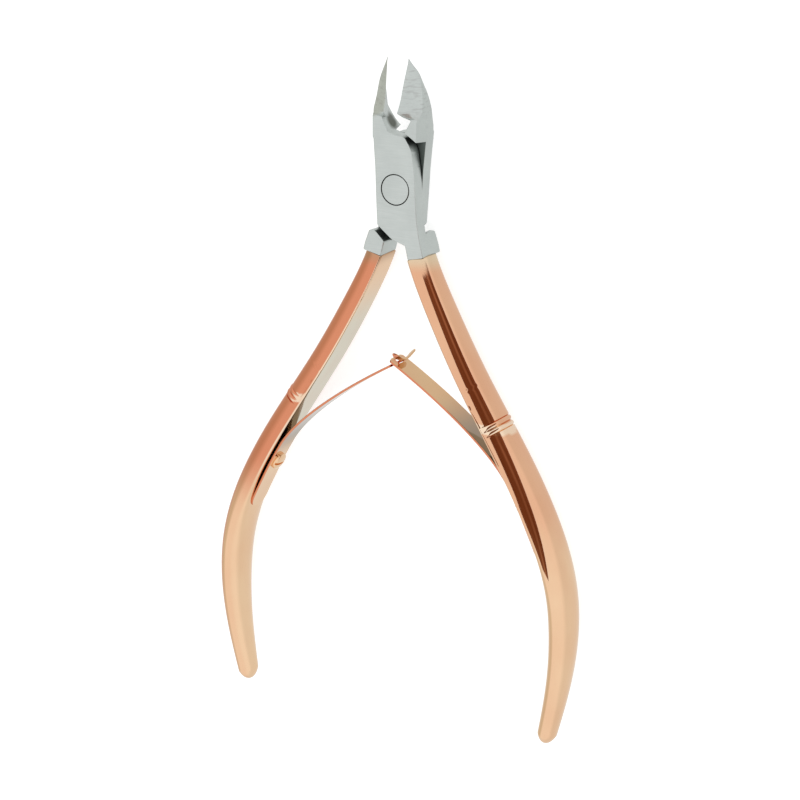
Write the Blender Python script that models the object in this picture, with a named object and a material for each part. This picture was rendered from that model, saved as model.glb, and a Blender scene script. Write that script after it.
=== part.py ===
"""Cuticle nipper: two lap-jointed levers on a flush rivet, with a hooked pair of leaf springs.

The tool lies flat: +X to the right, +Y towards the jaw tips, +Z out of the front face.
Every outline is drawn about the rivet, in millimetres, as (x, y) or (x, y, z) from the joint plane.
The front lever runs from the left jaw, through the front lap plate, to the right handle.
The rear lever is its mirror image in X, with its lap plate behind the joint plane.
"""

from math import cos, pi, radians, sin, tan

import bmesh
import bpy
import numpy as np
from mathutils import Matrix, Vector

MM = 0.001

# Where the rivet's centre stands in the world.
PIVOT = Vector((0.0, 31.9305, 3.434))

# Head and lap joint.
HEAD_HALF = 2.39
LAP_GAP_HALF = 0.15
LAP_OVERLAP = 0.5

# Jaws: each cutting edge lies on a radial plane this far from the middle plane when open.
JAW_OPEN_ANGLE = 5.02
TIP_REACH = 19.85
HEEL_REACH = 11.95
BEVEL_BULGE = 0.015
HOLLOW_SHARE = 0.52
HOLLOW_DEPTH = 0.05
# The left blade: y, cutting edge z, ridge (x, z), outer back (x, z), inner back x.
BLADE_STATIONS = (
    (HEEL_REACH, 4.15, (-4.08, 1.90), (-3.95, -1.45), -3.20),
    (13.5, 3.50, (-3.92, 1.45), (-3.80, -0.90), -3.35),
    (16.0, 2.98, (-3.58, 1.20), (-3.40, 0.15), -3.10),
    (18.0, 2.50, (-2.86, 1.35), (-2.72, 0.90), -2.55),
    (19.0, 2.24, (-2.22, 1.75), (-2.14, 1.45), -2.05),
    (TIP_REACH, 2.08, (-1.86, 2.00), (-1.84, 1.95), -1.80),
)

# Rivet and its countersunk holes.
RIVET_HEAD_R = 2.25
RIVET_HEAD_T = 0.75
RIVET_SHANK_R = 1.50
RUNNING_FIT = 0.05
RIVET_SEAT_GAP = 0.30

# Handles: station height y, centre line x, thickness across, depth front to back.
HANDLE_STATIONS = (
    (-8.2, 3.05, 3.15, 4.84),
    (-11.5, 4.28, 3.10, 5.15),
    (-18.0, 7.38, 3.15, 5.60),
    (-28.0, 12.95, 3.20, 6.15),
    (-40.0, 20.48, 3.35, 6.60),
    (-52.0, 26.50, 3.40, 6.60),
    (-64.0, 28.80, 3.35, 6.15),
    (-74.0, 28.18, 2.85, 4.90),
    (-82.6, 26.50, 2.35, 3.45),
)
HANDLE_RINGS = 40
HANDLE_END_LENGTH = 1.1
HANDLE_END_RINGS = 4
HANDLE_END_TURN = 80.0
GROOVE_Y = -34.5
GROOVE_PITCH = 1.1
GROOVE_DEPTH = 0.22

# Handle section: flat inside and full outside above, easing into a soft oval between these heights.
OVAL_START = -45.0
OVAL_FULL = -62.0
OVAL_WIDER = 1.22
OVAL_DEEPER = 1.08
SECTION_POINTS = 24
OUTER_SHARE = 0.70
OUTER_POWER = 0.62
INNER_POWER = 0.34
DEPTH_POWER = 0.5

# Leaf springs.
LEAF_THICKNESS = 0.36
LEAF_WIDTH = 4.4
LEAF_TIP_WIDTH = 4.0
LEAF_STANDOFF = 0.30
LEAF_TAIL_Y = -53.6
LEAF_LEAVES_Y = -42.0
LEAF_RUN_STEPS = 10
LEAF_SPAN_STEPS = 26
RING_GAP = 0.05
LEAF_BEND = 0.21
LEAF_SWEEP = 0.41

# Hook: the leaves' middle lines cross here, and its sizes are measured from the crossing.
CROSSING = (0.0, -27.08)
CROSSING_RISE = 30.2
SLOTTED_TIP = 1.05
SLOT_HALF_LENGTH = 0.66
SLOT_WIDTH = 1.9
HOOK_SHOULDER = 0.80
HOOK_NECK_WIDTH = 1.3
HOOK_NECK_LAP = 0.6
HOOK_HEAD = 1.20
HOOK_HEAD_HALF = 0.32
HOOK_EAR_SPAN = 5.7
HOOK_EAR_LIFT = 1.1
HOOK_EAR_SWEEP = 0.3
HOOK_EAR_HALF = 0.3
HOOK_EAR_STEPS = 12

# Spring screws.
SCREW_Y = -45.2
SCREW_HEAD_R = 1.45
SCREW_HEAD_T = 0.60
SCREW_RIM = 0.45
SCREW_SHOULDER = 0.82
SCREW_SHOULDER_R = 1.25
SCREW_CROWN_R = 0.80
SCREW_SHANK_R = 0.60
SCREW_HOLE_R = 0.66
SCREW_LENGTH = 1.35
SCREW_HOLE_DEPTH = 1.75
SCREW_HOLE_REACH = 2.5
SCREW_SEGMENTS = 32
SCREW_SLOT_WIDTH = 0.45
SCREW_SLOT_DEPTH = 0.30

# The front lever's plate and neck, in the front half of the lap, counter-clockwise from the outer jaw.
LAP_OUTLINE = (
    (-3.97, 10.40), (-4.00, 9.50), (-3.84, 7.73), (-3.43, 2.92), (-3.19, -1.93), (-2.96, -5.70),
    (-0.59, -7.56), (0.49, -7.96), (1.80, -8.30), (2.25, -10.20), (4.82, -10.20), (4.68, -9.06),
    (4.18, -7.11), (3.78, -4.82), (3.49, -2.19), (3.31, 0.99), (3.03, 3.51), (2.63, 5.90),
    (2.15, 7.00), (1.47, 8.03), (0.90, 8.25), (-0.15, 8.30), (-1.41, 8.76), (-2.00, 9.90),
)
# The same lever's neck and handle root behind the joint plane, on either side of the rear plate.
NECK_OUTLINE = ((-3.97, 10.40), (-4.00, 9.50), (-3.82, 7.30), (-1.72, 8.92), (-2.00, 9.90))
ROOT_OUTLINE = (
    (4.25, -6.35), (2.00, -7.95), (1.80, -8.30), (2.25, -10.20),
    (5.05, -10.20), (4.95, -9.00), (4.75, -7.60),
)


def clear_scene():
    for obj in list(bpy.data.objects):
        bpy.data.objects.remove(obj, do_unlink=True)


def material(name, colour, roughness, metallic=1.0):
    made = bpy.data.materials.new(name)
    made.use_nodes = True
    shader = made.node_tree.nodes["Principled BSDF"]
    shader.inputs["Base Color"].default_value = (*colour, 1.0)
    shader.inputs["Roughness"].default_value = roughness
    shader.inputs["Metallic"].default_value = metallic
    return made


def new_object(name, bm, side=1, smooth=40.0):
    """Turns a bmesh in millimetres into an object; side -1 mirrors it in X."""
    bm.transform(Matrix.Diagonal((side * MM, MM, MM, 1.0)))
    if side < 0:
        bmesh.ops.reverse_faces(bm, faces=bm.faces)
    mesh = bpy.data.meshes.new(name)
    bm.to_mesh(mesh)
    bm.free()
    mesh.shade_smooth()
    mesh.set_sharp_from_angle(angle=radians(smooth))
    obj = bpy.data.objects.new(name, mesh)
    bpy.context.scene.collection.objects.link(obj)
    return obj


def prism(outline, low, high):
    """A closed prism on a counter-clockwise outline, between two heights."""
    bm = bmesh.new()
    face = bm.faces.new([bm.verts.new((x, y, low)) for x, y in outline])
    raised = bmesh.ops.extrude_face_region(bm, geom=[face])
    tops = [item for item in raised["geom"] if isinstance(item, bmesh.types.BMVert)]
    bmesh.ops.translate(bm, verts=tops, vec=(0.0, 0.0, high - low))
    bmesh.ops.recalc_face_normals(bm, faces=bm.faces)
    return bm


def loft(rings):
    """A closed skin through rings of equal count, capped at both ends."""
    bm = bmesh.new()
    loops = [[bm.verts.new(point) for point in ring] for ring in rings]
    for near, far in zip(loops, loops[1:]):
        for k in range(len(near)):
            after = (k + 1) % len(near)
            bm.faces.new((near[k], near[after], far[after], far[k]))
    bm.faces.new(list(reversed(loops[0])))
    bm.faces.new(loops[-1])
    bmesh.ops.recalc_face_normals(bm, faces=bm.faces)
    return bm


def turned(profile, segments=40):
    """A solid of revolution about Z from (radius, z) points whose ends lie on the axis."""
    bm = bmesh.new()
    points = [bm.verts.new((radius, 0.0, z)) for radius, z in profile]
    edges = [bm.edges.new(pair) for pair in zip(points, points[1:])]
    bmesh.ops.spin(
        bm, geom=points + edges, cent=(0, 0, 0), axis=(0, 0, 1), angle=2 * pi, steps=segments,
        use_duplicate=False,
    )
    bmesh.ops.remove_doubles(bm, verts=bm.verts, dist=1e-4)
    bmesh.ops.recalc_face_normals(bm, faces=bm.faces)
    return bm


def combine(target, other, operation):
    """Applies one exact Boolean and drops the other operand."""
    step = target.modifiers.new(operation.lower(), "BOOLEAN")
    step.operation = operation
    step.solver = "EXACT"
    step.object = other
    bpy.context.view_layer.update()
    result = bpy.data.meshes.new_from_object(target.evaluated_get(bpy.context.evaluated_depsgraph_get()))
    target.modifiers.clear()
    target.data = result
    bpy.data.objects.remove(other, do_unlink=True)
    return target


def natural_spline(knots, values, at):
    """Natural cubic spline through (knots, values), read at the given places."""
    x = np.asarray(knots, float)
    y = np.asarray(values, float)
    gaps = np.diff(x)
    count = len(x)
    system = np.eye(count)
    right = np.zeros(count)
    for k in range(1, count - 1):
        system[k, k - 1:k + 2] = gaps[k - 1], 2 * (gaps[k - 1] + gaps[k]), gaps[k]
        right[k] = 6 * ((y[k + 1] - y[k]) / gaps[k] - (y[k] - y[k - 1]) / gaps[k - 1])
    bend = np.linalg.solve(system, right)
    k = np.clip(np.searchsorted(x, at) - 1, 0, count - 2)
    h = gaps[k]
    a = (x[k + 1] - at) / h
    b = (at - x[k]) / h
    return a * y[k] + b * y[k + 1] + ((a**3 - a) * bend[k] + (b**3 - b) * bend[k + 1]) * h * h / 6


def handle_at(y):
    """Centre line x, thickness and depth of the right handle at height y."""
    columns = list(zip(*reversed(HANDLE_STATIONS)))
    return [float(natural_spline(columns[0], column, np.array([y]))[0]) for column in columns[1:]]


def handle_normal(y):
    """Unit vector across the right handle at height y, pointing away from the other handle."""
    step = 0.05
    slope = (handle_at(y + step)[0] - handle_at(y - step)[0]) / (2 * step)
    return Vector((1.0, -slope, 0.0)).normalized()


def oval_share(y):
    """0 where the handle is flat inside, 1 where its section is fully oval."""
    share = min(max((OVAL_START - y) / (OVAL_START - OVAL_FULL), 0.0), 1.0)
    return share * share * (3 - 2 * share)


def handle_section(y, thickness, depth, inset=0.0):
    """Closed section at height y as (across, z) points."""
    oval = oval_share(y)
    width = thickness * (1 + (OVAL_WIDER - 1) * oval)
    half = depth / 2 * (1 + (OVAL_DEEPER - 1) * oval)
    outer_share = OUTER_SHARE * (1 - oval) + 0.5 * oval
    points = []
    for k in range(SECTION_POINTS):
        turn = 2 * pi * (k + 0.5) / SECTION_POINTS
        c, s = cos(turn), sin(turn)
        reach, power = (outer_share, OUTER_POWER) if c > 0 else (outer_share - 1, INNER_POWER)
        across = width * (0.5 - outer_share + reach * abs(c) ** (power * (1 - oval) + oval))
        high = half * abs(s) ** (DEPTH_POWER * (1 - oval) + oval) * (1 if s > 0 else -1)
        if across > 0:
            across -= inset
        points.append((across, high))
    return points


def handle_ring(y, scale=1.0, beyond=0.0, inset=0.0):
    """One ring of the right handle at height y, shrunk by scale and moved on along the handle."""
    x, thickness, depth = handle_at(y)
    normal = handle_normal(y)
    along = Vector((normal.y, -normal.x, 0.0))
    centre = Vector((x, y, 0.0)) + along * beyond
    return [
        centre + normal * across * scale + Vector((0, 0, high * scale))
        for across, high in handle_section(y, thickness, depth, inset)
    ]


def handle_rings():
    start, stop = HANDLE_STATIONS[0][0], HANDLE_STATIONS[-1][0]
    heights = {round(start + (stop - start) * k / HANDLE_RINGS, 3): 0.0 for k in range(HANDLE_RINGS + 1)}
    for k in (-1, 0, 1):
        middle = GROOVE_Y - k * GROOVE_PITCH / 2
        heights[middle] = GROOVE_DEPTH if k else 0.0
    for k in (-2, 2):
        heights[GROOVE_Y - k * GROOVE_PITCH / 2] = 0.0
    rings = [handle_ring(y, inset=heights[y]) for y in sorted(heights, reverse=True)]
    for k in range(1, HANDLE_END_RINGS + 1):
        turn = radians(HANDLE_END_TURN) * k / HANDLE_END_RINGS
        rings.append(handle_ring(stop, cos(turn), HANDLE_END_LENGTH * sin(turn)))
    return rings


def neck_rings():
    """Rings inside the neck that the left blade grows out of, in the blade's order of points."""
    return [
        [(-2.15, 9.3, 1.9), (-3.0, 9.3, 2.1), (-3.80, 9.3, 2.0),
         (-3.80, 9.3, -1.9), (-2.15, 9.3, -1.9), (-2.15, 9.3, 0.0)],
        [(-2.10, 10.1, 2.1), (-3.0, 10.2, 2.2), (-3.85, 10.2, 2.1),
         (-3.85, 10.2, -1.9), (-2.35, 10.0, -1.9), (-2.15, 10.0, 0.2)],
        [(-2.00, 10.9, 2.5), (-3.0, 10.9, 2.6), (-4.04, 10.8, 2.2),
         (-3.97, 10.8, -1.7), (-2.95, 10.8, -1.7), (-2.50, 10.8, 0.4)],
    ]


def blade_rings():
    """Blade of the left jaw, ring by ring from its heel to the tip.

    Each ring runs: cutting edge, crown of the front bevel, ridge, outer back, inner back, hollow.
    """
    edge = tan(radians(JAW_OPEN_ANGLE))
    rings = []
    for y, edge_z, ridge, outer, inner_x in BLADE_STATIONS:
        lip = Vector((-edge * y, y, edge_z))
        crest = Vector((ridge[0], y, ridge[1]))
        back = Vector((outer[0], y, outer[1]))
        heel = Vector((inner_x, y, outer[1]))
        bulge = BEVEL_BULGE * (TIP_REACH - y)
        crown = (lip + crest) / 2 + Vector((-bulge, 0.0, bulge))
        hollow = lip.lerp(heel, HOLLOW_SHARE) - Vector((HOLLOW_DEPTH, 0.0, 0.0))
        rings.append([lip, crown, crest, back, heel, hollow])
    return rings


def lever(name, side, lap):
    """One forged lever; side mirrors it in X and lap says which half its plate is in."""
    near, far = LAP_GAP_HALF, HEAD_HALF
    body = new_object(name, prism(LAP_OUTLINE, *sorted((lap * near, lap * far))), side)
    behind = sorted((lap * (near + LAP_OVERLAP), -lap * far))
    for outline in (NECK_OUTLINE, ROOT_OUTLINE):
        combine(body, new_object("blank", prism(outline, *behind), side), "UNION")
    combine(body, new_object("blank", loft(neck_rings() + blade_rings()), side), "UNION")
    combine(body, new_object("blank", loft(handle_rings()), side), "UNION")
    combine(body, rivet_hole(), "DIFFERENCE")
    combine(body, screw_hole(side), "DIFFERENCE")
    body.location = PIVOT * MM
    return body


def rivet_profile(clearance, seat_gap, over):
    """Half profile of the two-headed rivet, grown by a clearance for the hole it turns in."""
    head, shank = RIVET_HEAD_R + clearance, RIVET_SHANK_R + clearance
    seat = HEAD_HALF - RIVET_HEAD_T - seat_gap
    top = HEAD_HALF + over
    return (
        (0, -top), (head, -top), (head, -seat), (shank, -seat),
        (shank, seat), (head, seat), (head, top), (0, top),
    )


def rivet_hole():
    profile = rivet_profile(RUNNING_FIT, RIVET_SEAT_GAP, 1.0)
    return new_object("cutter", turned(profile))


def rivet():
    body = new_object("pivot_rivet", turned(rivet_profile(0.0, 0.0, 0.0)))
    body.location = PIVOT * MM
    return body


def screw_frame(side):
    """Matrix whose Z axis points from the handle's inner face towards the middle plane."""
    x, thickness, _ = handle_at(SCREW_Y)
    normal = handle_normal(SCREW_Y)
    face = Vector((x, SCREW_Y, 0.0)) - normal * thickness / 2
    out = Vector((-normal.x * side, -normal.y, 0.0))
    across = Vector((0.0, 0.0, 1.0))
    along = across.cross(out)
    turn = Matrix((along, across, out)).transposed().to_4x4()
    return Matrix.Translation(Vector((face.x * side, face.y, 0.0)) * MM) @ turn


def screw_hole(side):
    low, high = -SCREW_HOLE_DEPTH, SCREW_HOLE_REACH
    profile = ((0, low), (SCREW_HOLE_R, low), (SCREW_HOLE_R, high), (0, high))
    cutter = new_object("cutter", turned(profile, SCREW_SEGMENTS))
    cutter.data.transform(screw_frame(side))
    return cutter


def spring_screw(name, side):
    """Pan-headed screw with a straight slot, through the leaf into the handle."""
    base = LEAF_STANDOFF + LEAF_THICKNESS + LEAF_STANDOFF
    top = base + SCREW_HEAD_T
    profile = (
        (0, -SCREW_LENGTH), (SCREW_SHANK_R, -SCREW_LENGTH), (SCREW_SHANK_R, base), (SCREW_HEAD_R, base),
        (SCREW_HEAD_R, base + SCREW_RIM * SCREW_HEAD_T),
        (SCREW_SHOULDER_R, base + SCREW_SHOULDER * SCREW_HEAD_T), (SCREW_CROWN_R, top), (0, top),
    )
    body = new_object(name, turned(profile, SCREW_SEGMENTS))
    half_width, reach = SCREW_SLOT_WIDTH / 2, SCREW_HEAD_R + 0.5
    slot = prism(
        ((-half_width, -reach), (half_width, -reach), (half_width, reach), (-half_width, reach)),
        top - SCREW_SLOT_DEPTH, top + 0.5,
    )
    combine(body, new_object("cutter", slot), "DIFFERENCE")
    body.data.transform(screw_frame(side))
    body.location = PIVOT * MM
    return body


def leaf_path():
    """Centre line of the right leaf, from its tail up the handle and across to the hook."""
    offset = LEAF_STANDOFF + LEAF_THICKNESS / 2
    points = []
    for k in range(LEAF_RUN_STEPS):
        y = LEAF_TAIL_Y + (LEAF_LEAVES_Y - LEAF_TAIL_Y) * k / LEAF_RUN_STEPS
        x, thickness, _ = handle_at(y)
        points.append(Vector((x, y, 0.0)) - handle_normal(y) * (thickness / 2 + offset))
    x, thickness, _ = handle_at(LEAF_LEAVES_Y)
    normal = handle_normal(LEAF_LEAVES_Y)
    start = Vector((x, LEAF_LEAVES_Y, 0.0)) - normal * (thickness / 2 + offset)
    stop = Vector((*CROSSING, 0.0))
    leave = Vector((-normal.y, normal.x, 0.0))
    rise = radians(CROSSING_RISE)
    arrive = Vector((-cos(rise), sin(rise), 0.0))
    reach = (stop - start).length
    bend, sweep = start + leave * reach * LEAF_BEND, stop - arrive * reach * LEAF_SWEEP
    for k in range(LEAF_SPAN_STEPS + 1):
        t = k / LEAF_SPAN_STEPS
        s = 1 - t
        points.append(s**3 * start + 3 * s * s * t * bend + 3 * s * t * t * sweep + t**3 * stop)
    return points


def strip(path, widths, thickness):
    """A flat strip along a path in the XY plane; widths are measured along Z."""
    rings = []
    for k, point in enumerate(path):
        before, after = path[max(k - 1, 0)], path[min(k + 1, len(path) - 1)]
        along = (after - before).normalized()
        out = Vector((-along.y, along.x, 0.0)) * thickness / 2
        high = Vector((0.0, 0.0, widths[k] / 2))
        rings.append([point + out - high, point + out + high, point - out + high, point - out - high])
    return loft(rings)


def path_directions(path):
    along = (path[-1] - path[-2]).normalized()
    return along, Vector((-along.y, along.x, 0.0))


def leaf_widths(path):
    lengths = [(point - path[0]).length for point in path]
    return [LEAF_WIDTH + (LEAF_TIP_WIDTH - LEAF_WIDTH) * length / lengths[-1] for length in lengths]


def leaf_blank(name, side, reach):
    """One spring leaf, drilled for its screw, ending the given reach past the crossing."""
    path = leaf_path()
    crossing = path[-1]
    along, _ = path_directions(path)
    path = [point for point in path if (point - crossing).dot(along) < min(reach, 0.0) - RING_GAP]
    path.append(crossing + along * reach)
    leaf = new_object(name, strip(path, leaf_widths(path), LEAF_THICKNESS), side)
    return combine(leaf, screw_hole(side), "DIFFERENCE")


def slotted_leaf():
    """Front lever's leaf: its end has a window that the other leaf's neck passes through."""
    leaf = leaf_blank("front_spring_leaf", 1, SLOTTED_TIP)
    path = leaf_path()
    along, out = path_directions(path)
    corners = [
        path[-1] + along * a * SLOT_HALF_LENGTH + out * b for a, b in ((-1, -1), (1, -1), (1, 1), (-1, 1))
    ]
    window = prism([(corner.x, corner.y) for corner in corners], -SLOT_WIDTH / 2, SLOT_WIDTH / 2)
    return combine(leaf, new_object("cutter", window), "DIFFERENCE")


def hook_head_rings(centre, along, out):
    """The T head across the neck's end, with ears lifted away from the slotted leaf."""
    rings = []
    for k in range(HOOK_EAR_STEPS + 1):
        share = 2 * k / HOOK_EAR_STEPS - 1
        ear = share * share
        middle = centre + (along * HOOK_EAR_SWEEP - out * HOOK_EAR_LIFT) * ear
        middle += Vector((0, 0, share * HOOK_EAR_SPAN / 2))
        half = HOOK_HEAD_HALF * (1.05 - ear * ear) ** 0.5 + HOOK_EAR_HALF * ear
        rings.append([
            middle + along * a * half + out * b * LEAF_THICKNESS / 2
            for a, b in ((-1, -1), (1, -1), (1, 1), (-1, 1))
        ])
    return rings


def hooked_leaf():
    """Rear lever's leaf: a narrow neck through the window and a T head."""
    leaf = leaf_blank("rear_spring_leaf", -1, -HOOK_SHOULDER)
    path = leaf_path()
    along, out = path_directions(path)
    ends = [path[-1] - along * (HOOK_SHOULDER + HOOK_NECK_LAP), path[-1] + along * HOOK_HEAD]
    neck = strip(ends, [HOOK_NECK_WIDTH] * 2, LEAF_THICKNESS * 0.96)
    combine(leaf, new_object("blank", neck, -1), "UNION")
    head = loft(hook_head_rings(ends[-1], along, out))
    return combine(leaf, new_object("blank", head, -1), "UNION")


def build():
    clear_scene()
    steel = material("ground_steel", (0.56, 0.57, 0.56), 0.35)
    plating = material("rose_gold_plate", (0.80, 0.47, 0.33), 0.12)
    front = lever("front_lever", 1, 1)
    rear = lever("rear_lever", -1, -1)
    pin = rivet()
    leaves = [slotted_leaf(), hooked_leaf()]
    for leaf in leaves:
        leaf.location = PIVOT * MM
    screws = [spring_screw("front_spring_screw", 1), spring_screw("rear_spring_screw", -1)]
    for obj in (front, rear, pin):
        obj.data.materials.clear()
        obj.data.materials.append(steel)
    for obj in leaves + screws:
        obj.data.materials.clear()
        obj.data.materials.append(plating)


build()
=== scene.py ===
"""Looks of the cuticle nipper: ground steel head, rose-gold plated handles and a hooked double spring.

Shapes are drawn in millimetres about the rivet: +X to the right, +Y towards the jaw tips, +Z to the front.
The front lever has the left jaw, the front lap plate and the right handle; the rear lever mirrors it in X.
"""

from math import cos, pi, radians, sin, tan

import bmesh
import bpy
import numpy as np
from mathutils import Matrix, Vector


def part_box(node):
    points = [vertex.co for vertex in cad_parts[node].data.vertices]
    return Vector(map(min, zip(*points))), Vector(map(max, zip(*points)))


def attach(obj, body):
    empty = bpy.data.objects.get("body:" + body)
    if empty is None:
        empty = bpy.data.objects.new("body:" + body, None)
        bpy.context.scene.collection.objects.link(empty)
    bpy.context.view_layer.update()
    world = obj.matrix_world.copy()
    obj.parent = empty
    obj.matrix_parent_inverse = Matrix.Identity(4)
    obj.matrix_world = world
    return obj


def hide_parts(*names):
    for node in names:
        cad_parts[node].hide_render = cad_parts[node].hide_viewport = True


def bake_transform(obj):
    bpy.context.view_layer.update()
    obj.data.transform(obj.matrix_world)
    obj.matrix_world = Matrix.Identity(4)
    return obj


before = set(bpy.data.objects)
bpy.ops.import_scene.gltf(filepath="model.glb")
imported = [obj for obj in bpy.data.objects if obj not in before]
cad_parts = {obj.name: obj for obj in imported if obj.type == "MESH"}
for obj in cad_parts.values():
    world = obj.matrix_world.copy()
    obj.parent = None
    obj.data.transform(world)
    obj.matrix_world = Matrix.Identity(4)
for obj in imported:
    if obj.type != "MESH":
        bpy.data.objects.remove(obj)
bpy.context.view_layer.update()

MM = 0.001
SQUARE = ((-1, -1), (1, -1), (1, 1), (-1, 1))


def box_centre(node):
    """Middle of a CAD node's box, in metres."""
    low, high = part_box(node)
    return (Vector(low) + Vector(high)) / 2


PIVOT = box_centre("pivot_rivet") / MM

# Head and lap joint.
HEAD_HALF = 2.39
LAP_GAP_HALF = 0.05
EDGE_ROUND = 0.10

# Jaws: each station of the left blade runs y, edge z, ridge (x, z), outer back (x, z), inner back x.
JAW_OPEN_ANGLE = 5.02
TIP_REACH = 19.85
JAW_STATIONS = (
    (11.95, 4.18, (-4.10, 1.88), (-3.98, -1.38), -3.45),
    (13.5, 3.52, (-3.92, 1.45), (-3.84, -0.90), -3.38),
    (15.0, 3.18, (-3.72, 1.28), (-3.60, -0.27), -3.25),
    (16.5, 2.87, (-3.44, 1.18), (-3.28, 0.42), -3.05),
    (18.0, 2.50, (-2.88, 1.22), (-2.76, 0.98), -2.60),
    (19.0, 2.24, (-2.24, 1.72), (-2.18, 1.50), -2.08),
    (TIP_REACH, 2.08, (-1.80, 2.02), (-1.79, 1.95), -1.76),
)
JAW_RINGS = 44
JAW_CORNER = 0.07
JAW_BULGE = 0.035
JAW_HOLLOW = 0.05
MICRO_BEVEL = 0.42
# Middle of the painted shade in the hollow under each blade's heel.
HOLLOW_PLACE = (2.3, 9.7, -0.2)

# Rivet.
RIVET_R = 2.25
RIVET_HOLE_R = 2.40
RIVET_EDGE = 0.07
RIVET_DOME = 0.015

# Handles: station height y, centre line x, thickness across, depth front to back.
HANDLE_STATIONS = (
    (-8.2, 3.05, 3.15, 4.84),
    (-11.5, 4.28, 3.10, 5.15),
    (-18.0, 7.38, 3.15, 5.60),
    (-28.0, 12.95, 3.20, 6.15),
    (-40.0, 20.48, 3.35, 6.60),
    (-52.0, 26.50, 3.40, 6.60),
    (-64.0, 28.80, 3.35, 6.15),
    (-74.0, 28.18, 2.85, 4.90),
    (-82.6, 26.50, 2.35, 3.45),
)
HANDLE_TOP = -10.08
HANDLE_TOP_TILT = 0.25
HANDLE_TOP_BLEND = 4.0
HANDLE_SHOULDER = 0.22
HANDLE_ROOT_SHRINK = 0.5
HANDLE_RINGS = 210
HANDLE_END_Y = -82.1
HANDLE_END_LENGTH = 3.2
HANDLE_END_START = 30.0
HANDLE_END_STOP = 88.5

# Handle section: keeled above, easing into a soft oval between these heights.
OVAL_START = -45.0
OVAL_FULL = -62.0
OVAL_WIDER = 1.22
OVAL_DEEPER = 1.08
OVAL_FIRST_TURN = 150.0
KEEL_WIDER = 1.05
KEEL_ACROSS_POWER = 0.80
KEEL_DEPTH_POWER = 0.68
SECTION_POINTS = 72
SECTION_TRACE = 240
SECTION_CORNER = 0.38
CORNER_STEPS = 12

# Beads: two raised rings, which fade out on the handle's inner face.
BEAD_Y = -34.5
BEAD_SPACING = 0.72
BEAD_DEPTH = 0.22
BEAD_LIFT = 0.10
BEAD_START = 0.22
BEAD_FADE = 0.20

# Leaf springs.
LEAF_THICKNESS = 0.36
LEAF_WIDTH = 4.4
LEAF_TIP_WIDTH = 4.0
LEAF_STANDOFF = 0.30
LEAF_TAIL_Y = -53.6
LEAF_LEAVES_Y = -42.0
LEAF_BEND = 0.21
LEAF_SWEEP = 0.41
LEAF_CROSSING = (0.0, -27.08)
LEAF_TIP_RISE = 30.2

# Hook, measured from where the leaves cross; the window runs near end, far end, half-width.
HOOK_TIP = 1.00
HOOK_WINDOW = (-0.40, 0.68, 0.85)
HOOK_SHOULDER = 0.75
HOOK_NECK_WIDTH = 1.3
HOOK_NECK_LAP = 0.6
HOOK_HEAD = 1.18
HOOK_HEAD_HALF = 0.32
HOOK_HALF_SPAN = 2.85
HOOK_STEPS = 40
HOOK_EAR_POWER = 1.7
HOOK_EAR_SWEEP = 0.20
HOOK_EAR_WIDER = 0.24
HOOK_EAR_THINNER = 0.25
HOOK_LIFT = 1.05
HOOK_TWIST = 0.10
HOOK_TILT = 0.40

# Spring screws.
SCREW_Y = -45.2
SCREW_HEAD_R = 1.45
SCREW_HEAD_T = 0.55
SCREW_DOME = 0.25
SCREW_RIM = 0.36
SCREW_SHANK_R = 0.6
SCREW_SLOT_HALF = 0.20
SCREW_SLOT_DEPTH = 0.42

# The front lever's lap plate, counter-clockwise from the outer jaw.
PLATE_OUTLINE = (
    (-3.95, 8.60), (-3.84, 7.73), (-3.43, 2.92), (-3.19, -1.93), (-2.96, -5.70),
    (-0.59, -7.56), (0.49, -7.96), (1.80, -8.35), (2.30, -10.48), (4.90, -9.86), (4.70, -9.06),
    (4.18, -7.11), (3.78, -4.82), (3.49, -2.19), (3.31, 0.99), (3.03, 3.51), (2.63, 5.90),
    (2.15, 7.00), (1.47, 8.03), (0.90, 8.25), (-0.15, 8.30), (-1.41, 8.72), (-1.75, 9.10),
)
# Root of its handle: the outline inside the plate, just behind the joint plane, and at the back face.
ROOT_INSIDE = (
    (3.95, -7.40), (3.00, -7.60), (2.20, -7.95), (2.00, -8.40), (2.40, -10.45), (4.86, -9.87), (4.64, -9.00),
)
ROOT_JOINT = (
    (4.12, -6.62), (3.30, -6.78), (2.00, -7.95), (1.80, -8.35), (2.29, -10.48), (5.06, -9.82), (4.86, -9.00),
)
ROOT_BACK = (
    (4.34, -6.62), (3.40, -6.62), (2.00, -7.95), (1.80, -8.35), (2.28, -10.48), (5.32, -9.76), (5.04, -8.60),
)


# ---------------------------------------------------------------- mesh helpers


def natural_spline(knots, values, at):
    """Natural cubic spline through (knots, values), read at the given places."""
    x = np.asarray(knots, float)
    y = np.asarray(values, float)
    gaps = np.diff(x)
    count = len(x)
    system = np.eye(count)
    right = np.zeros(count)
    for k in range(1, count - 1):
        system[k, k - 1:k + 2] = gaps[k - 1], 2 * (gaps[k - 1] + gaps[k]), gaps[k]
        right[k] = 6 * ((y[k + 1] - y[k]) / gaps[k] - (y[k] - y[k - 1]) / gaps[k - 1])
    bend = np.linalg.solve(system, right)
    k = np.clip(np.searchsorted(x, at) - 1, 0, count - 2)
    h = gaps[k]
    a = (x[k + 1] - at) / h
    b = (at - x[k]) / h
    return a * y[k] + b * y[k + 1] + ((a**3 - a) * bend[k] + (b**3 - b) * bend[k + 1]) * h * h / 6


def ease(value, low, high):
    """Smooth 0 to 1 as the value goes from low to high."""
    share = np.clip((value - low) / (high - low), 0.0, 1.0)
    return share * share * (3 - 2 * share)


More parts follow.
